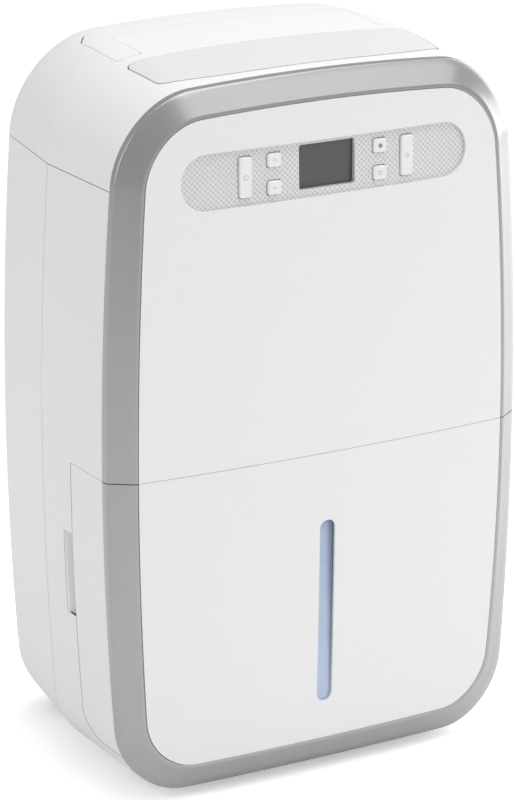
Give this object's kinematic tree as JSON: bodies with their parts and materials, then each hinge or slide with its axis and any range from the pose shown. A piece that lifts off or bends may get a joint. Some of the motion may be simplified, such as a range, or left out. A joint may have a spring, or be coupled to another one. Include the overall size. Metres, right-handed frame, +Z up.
{
  "type": "dehumidifier",
  "caption": "Upright room dehumidifier with a curved two-part front in a silver ring, top outlet flap, carrying handle, pull-out water tank and recessed castors.",
  "frame": {"origin": "on the floor under the middle of the body", "axes": "+X to the right seen from the front, -Y the front, +Z up"},
  "size_m": [0.39, 0.282, 0.616],
  "materials": {
    "white_shell": "satin",
    "gloss_panel": "gloss",
    "silver_ring": "pearl gloss",
    "hatched_strip": "cross-hatched",
    "display": "clear over a grey display",
    "button": "gloss",
    "blue_window": "frosted clear",
    "clear_tank": "frosted translucent",
    "grey_plastic": "fine grain",
    "dark_plastic": "fine grain",
    "circuit_board": "solder mask",
    "steel": "zinc plated",
    "black_steel": "satin enamel",
    "rubber": "matte",
    "aluminium_fins": "bare",
    "copper": "bare copper, drawn",
    "filter_mesh": "fine mesh"
  },
  "bodies": {
    "casing": {"rear_cover": "white_shell", "front_casing": "white_shell", "top_cover": "white_shell", "front_frame": "silver_ring", "front_panel": "gloss_panel", "control_plate": "hatched_strip", "display_lens": "display", "display_board": "circuit_board", "flap_pin": "steel", "outlet_duct": "dark_plastic", "handle_pins": "steel", "base_deck": "grey_plastic", "bay_wall": "grey_plastic", "drip_tray": "grey_plastic", "compressor": "black_steel", "compressor_feet": "rubber", "accumulator": "black_steel", "discharge_pipe": "copper", "suction_pipe": "copper", "capillary_tube": "copper", "condenser": "aluminium_fins", "evaporator": "aluminium_fins", "fan_volute": "dark_plastic", "fan_motor": "steel", "motor_bracket": "dark_plastic", "control_box": "grey_plastic", "run_capacitor": "steel", "cord_inlet": "dark_plastic", "tank_switch": "dark_plastic", "humidity_sensor": "grey_plastic", "housing_screws": "steel"},
    "flap": {"outlet_flap": "white_shell"},
    "carry_handle": {"carry_handle": "white_shell"},
    "tank": {"tank_shell": "white_shell", "tank_frame": "silver_ring", "tank_front": "gloss_panel", "tank_window": "blue_window", "tank_bucket": "clear_tank", "tank_lid": "grey_plastic"},
    "tank_handle": {"tank_handle": "grey_plastic"},
    "tank_float": {"tank_float": "grey_plastic"},
    "fan": {"fan_wheel": "dark_plastic"},
    "filter": {"intake_grille": "white_shell", "air_filter": "filter_mesh"},
    "drain_plug": {"drain_plug": "rubber"},
    "power_button": {"power_button": "button"},
    "timer_button": {"timer_button": "button"},
    "fan_button": {"fan_button": "button"},
    "mode_button": {"mode_button": "button"},
    "up_button": {"up_button": "button"},
    "down_button": {"down_button": "button"},
    "castor_fork_fl": {"castor_fork_fl": "dark_plastic"},
    "castor_wheel_fl": {"castor_wheel_fl": "dark_plastic"},
    "castor_fork_fr": {"castor_fork_fr": "dark_plastic"},
    "castor_wheel_fr": {"castor_wheel_fr": "dark_plastic"},
    "castor_fork_rl": {"castor_fork_rl": "dark_plastic"},
    "castor_wheel_rl": {"castor_wheel_rl": "dark_plastic"},
    "castor_fork_rr": {"castor_fork_rr": "dark_plastic"},
    "castor_wheel_rr": {"castor_wheel_rr": "dark_plastic"}
  },
  "joints": [
    {"name": "outlet_flap_tilt", "type": "hinge", "parent": "casing", "child": "flap", "pos_m": [0, -0.0482, 0.60876], "axis": [-1, 0, 0], "range_deg": [0, 75]},
    {"name": "carry_handle_lift", "type": "hinge", "parent": "casing", "child": "carry_handle", "pos_m": [0, -0.025, 0.60478], "axis": [1, 0, 0], "range_deg": [0, 90]},
    {"name": "tank_slide", "type": "slide", "parent": "casing", "child": "tank", "axis": [0, -1, 0], "range_m": [0, 0.2]},
    {"name": "tank_handle_lift", "type": "hinge", "parent": "tank", "child": "tank_handle", "pos_m": [0, -0.039, 0.2485], "axis": [1, 0, 0], "range_deg": [0, 90]},
    {"name": "tank_float_rise", "type": "hinge", "parent": "tank", "child": "tank_float", "pos_m": [0.121, 0, 0.227], "axis": [-1, 0, 0], "range_deg": [0, 12]},
    {"name": "fan_spin", "type": "hinge", "parent": "casing", "child": "fan", "pos_m": [0, -0.0771, 0.4033], "axis": [0, 1, 0], "continuous": true},
    {"name": "filter_pull", "type": "slide", "parent": "casing", "child": "filter", "axis": [0, 1, 0], "range_m": [0, 0.06]},
    {"name": "drain_plug_pull", "type": "slide", "parent": "casing", "child": "drain_plug", "axis": [0, 1, 0], "range_m": [0, 0.02]},
    {"name": "power_button_press", "type": "slide", "parent": "casing", "child": "power_button", "axis": [0, 1, 0], "range_m": [0, 0.0012], "stiffness_N_per_m": 900},
    {"name": "timer_button_press", "type": "slide", "parent": "casing", "child": "timer_button", "axis": [0, 1, 0], "range_m": [0, 0.0012], "stiffness_N_per_m": 900},
    {"name": "fan_button_press", "type": "slide", "parent": "casing", "child": "fan_button", "axis": [0, 1, 0], "range_m": [0, 0.0012], "stiffness_N_per_m": 900},
    {"name": "mode_button_press", "type": "slide", "parent": "casing", "child": "mode_button", "axis": [0, 1, 0], "range_m": [0, 0.0012], "stiffness_N_per_m": 900},
    {"name": "up_button_press", "type": "slide", "parent": "casing", "child": "up_button", "axis": [0, 1, 0], "range_m": [0, 0.0012], "stiffness_N_per_m": 900},
    {"name": "down_button_press", "type": "slide", "parent": "casing", "child": "down_button", "axis": [0, 1, 0], "range_m": [0, 0.0012], "stiffness_N_per_m": 900},
    {"name": "castor_swivel_fl", "type": "hinge", "parent": "casing", "child": "castor_fork_fl", "pos_m": [-0.112, -0.0725, 0.014], "axis": [0, 0, 1], "continuous": true},
    {"name": "castor_roll_fl", "type": "hinge", "parent": "castor_fork_fl", "child": "castor_wheel_fl", "pos_m": [-0.112, -0.0625, 0.014], "axis": [1, 0, 0], "continuous": true},
    {"name": "castor_swivel_fr", "type": "hinge", "parent": "casing", "child": "castor_fork_fr", "pos_m": [0.112, -0.0725, 0.014], "axis": [0, 0, 1], "continuous": true},
    {"name": "castor_roll_fr", "type": "hinge", "parent": "castor_fork_fr", "child": "castor_wheel_fr", "pos_m": [0.112, -0.0625, 0.014], "axis": [1, 0, 0], "continuous": true},
    {"name": "castor_swivel_rl", "type": "hinge", "parent": "casing", "child": "castor_fork_rl", "pos_m": [-0.112, 0.0973, 0.014], "axis": [0, 0, 1], "continuous": true},
    {"name": "castor_roll_rl", "type": "hinge", "parent": "castor_fork_rl", "child": "castor_wheel_rl", "pos_m": [-0.112, 0.1073, 0.014], "axis": [1, 0, 0], "continuous": true},
    {"name": "castor_swivel_rr", "type": "hinge", "parent": "casing", "child": "castor_fork_rr", "pos_m": [0.112, 0.0973, 0.014], "axis": [0, 0, 1], "continuous": true},
    {"name": "castor_roll_rr", "type": "hinge", "parent": "castor_fork_rr", "child": "castor_wheel_rr", "pos_m": [0.112, 0.1073, 0.014], "axis": [1, 0, 0], "continuous": true}
  ]
}
